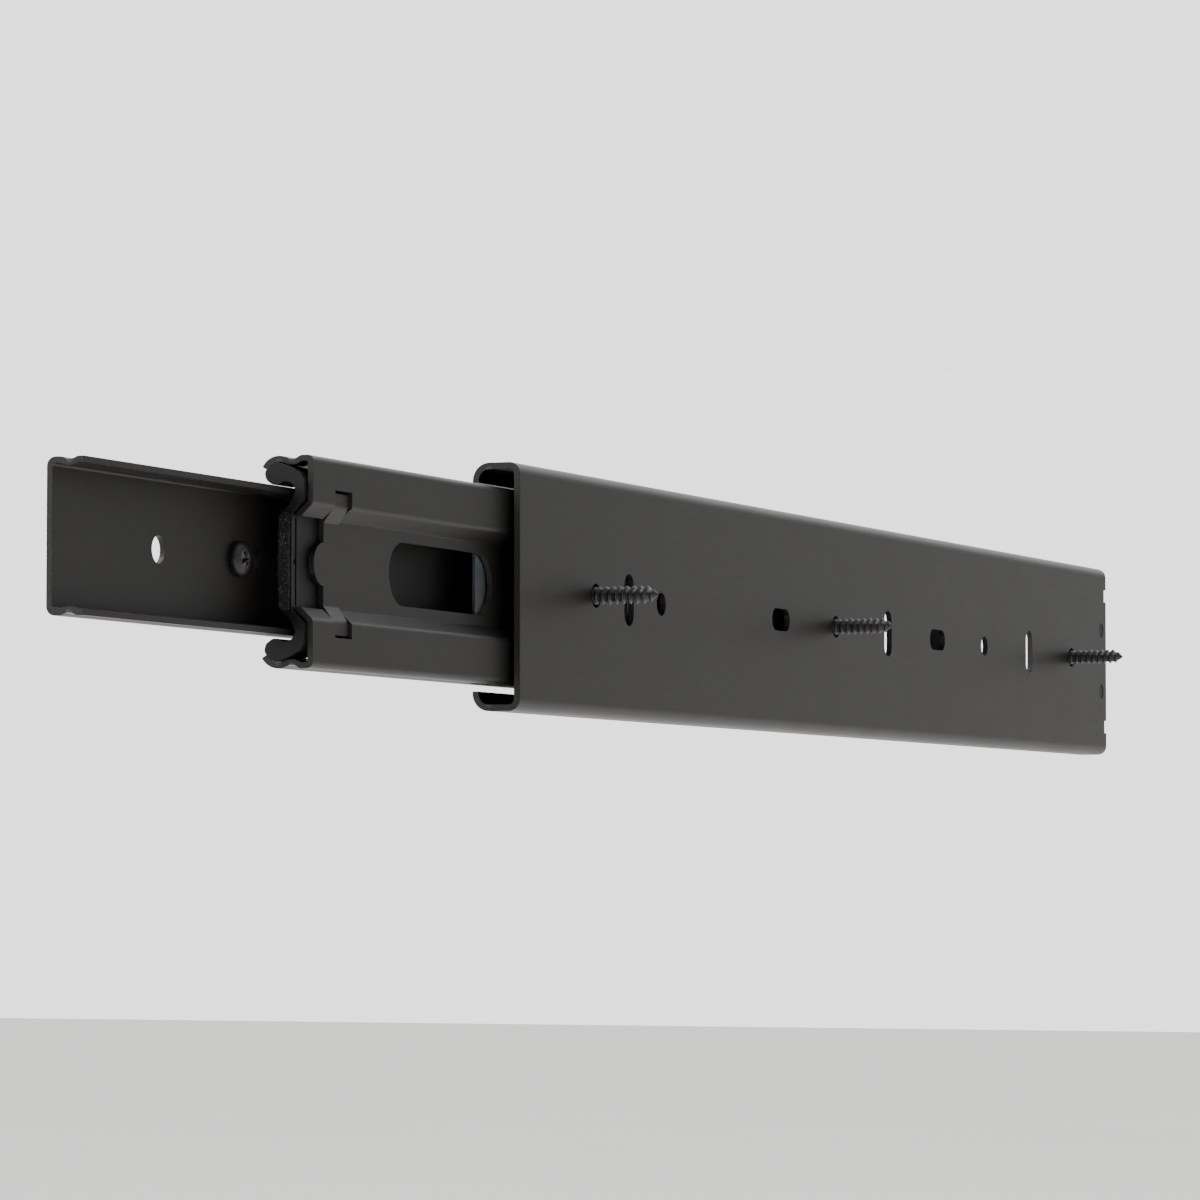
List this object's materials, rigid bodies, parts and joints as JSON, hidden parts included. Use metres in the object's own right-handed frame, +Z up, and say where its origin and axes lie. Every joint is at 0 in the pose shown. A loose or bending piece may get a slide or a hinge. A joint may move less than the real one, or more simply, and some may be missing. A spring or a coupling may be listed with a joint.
{
  "type": "cabinet drawer slide",
  "caption": "Side-mounted full-extension ball-bearing drawer slide: black cabinet, intermediate and drawer rails, ball cages, plastic front insert, release lever, shown half open.",
  "frame": {"origin": "on the cabinet member's mounting face, at mid height, on its front end", "axes": "+X points into the cabinet wall that the slide is screwed to, -Y is the way the drawer opens, +Z is up"},
  "size_m": [0.0385, 0.502, 0.0454],
  "materials": {
    "black_ecoat": "satin black electrophoretic coat on cold-rolled steel",
    "black_screw": "black oxide, lightly oiled",
    "zinc_strip": "bright zinc plated strip",
    "ball_steel": "polished, greased",
    "black_plastic": "fine eroded mould texture",
    "black_rubber": "soft, rough moulded skin",
    "rivet_steel": "zinc plated, pressed head"
  },
  "bodies": {
    "cabinet": {"cabinet_member": "black_ecoat", "cabinet_screws": "black_screw", "cabinet_rear_stop": "black_plastic"},
    "outer_cage": {"outer_ball_cage": "zinc_strip", "outer_balls_upper": "ball_steel", "outer_balls_lower": "ball_steel"},
    "intermediate": {"intermediate_member": "black_ecoat", "front_insert": "black_plastic", "front_bumper": "black_rubber", "intermediate_rear_guide": "black_plastic"},
    "inner_cage": {"inner_ball_cage": "zinc_strip", "inner_balls_upper": "ball_steel", "inner_balls_lower": "ball_steel"},
    "drawer": {"drawer_member": "black_ecoat", "drawer_screws": "black_screw", "drawer_rear_bumper": "black_rubber", "lever_pivot_rivet": "rivet_steel"},
    "lever": {"release_lever": "black_plastic"}
  },
  "joints": [
    {"name": "intermediate_slide", "type": "slide", "parent": "cabinet", "child": "intermediate", "axis": [0, -1, 0], "range_m": [-0.082, 0.093]},
    {"name": "outer_cage_roll", "type": "slide", "parent": "cabinet", "child": "outer_cage", "axis": [0, -1, 0], "range_m": [-0.041, 0.0465]},
    {"name": "drawer_slide", "type": "slide", "parent": "intermediate", "child": "drawer", "axis": [0, -1, 0], "range_m": [-0.07, 0.105]},
    {"name": "inner_cage_roll", "type": "slide", "parent": "intermediate", "child": "inner_cage", "axis": [0, -1, 0], "range_m": [-0.035, 0.0525]},
    {"name": "lever_swing", "type": "hinge", "parent": "drawer", "child": "lever", "pos_m": [-0.01, 0.063, 0], "axis": [-1, 0, 0], "range_deg": [0, 12], "stiffness_Nm_per_rad": 0.12, "springref_deg": -1.72}
  ],
  "couplings": [
    {"joint": "outer_cage_roll", "follows": "intermediate_slide", "ratio": 0.5},
    {"joint": "inner_cage_roll", "follows": "drawer_slide", "ratio": 0.5}
  ]
}
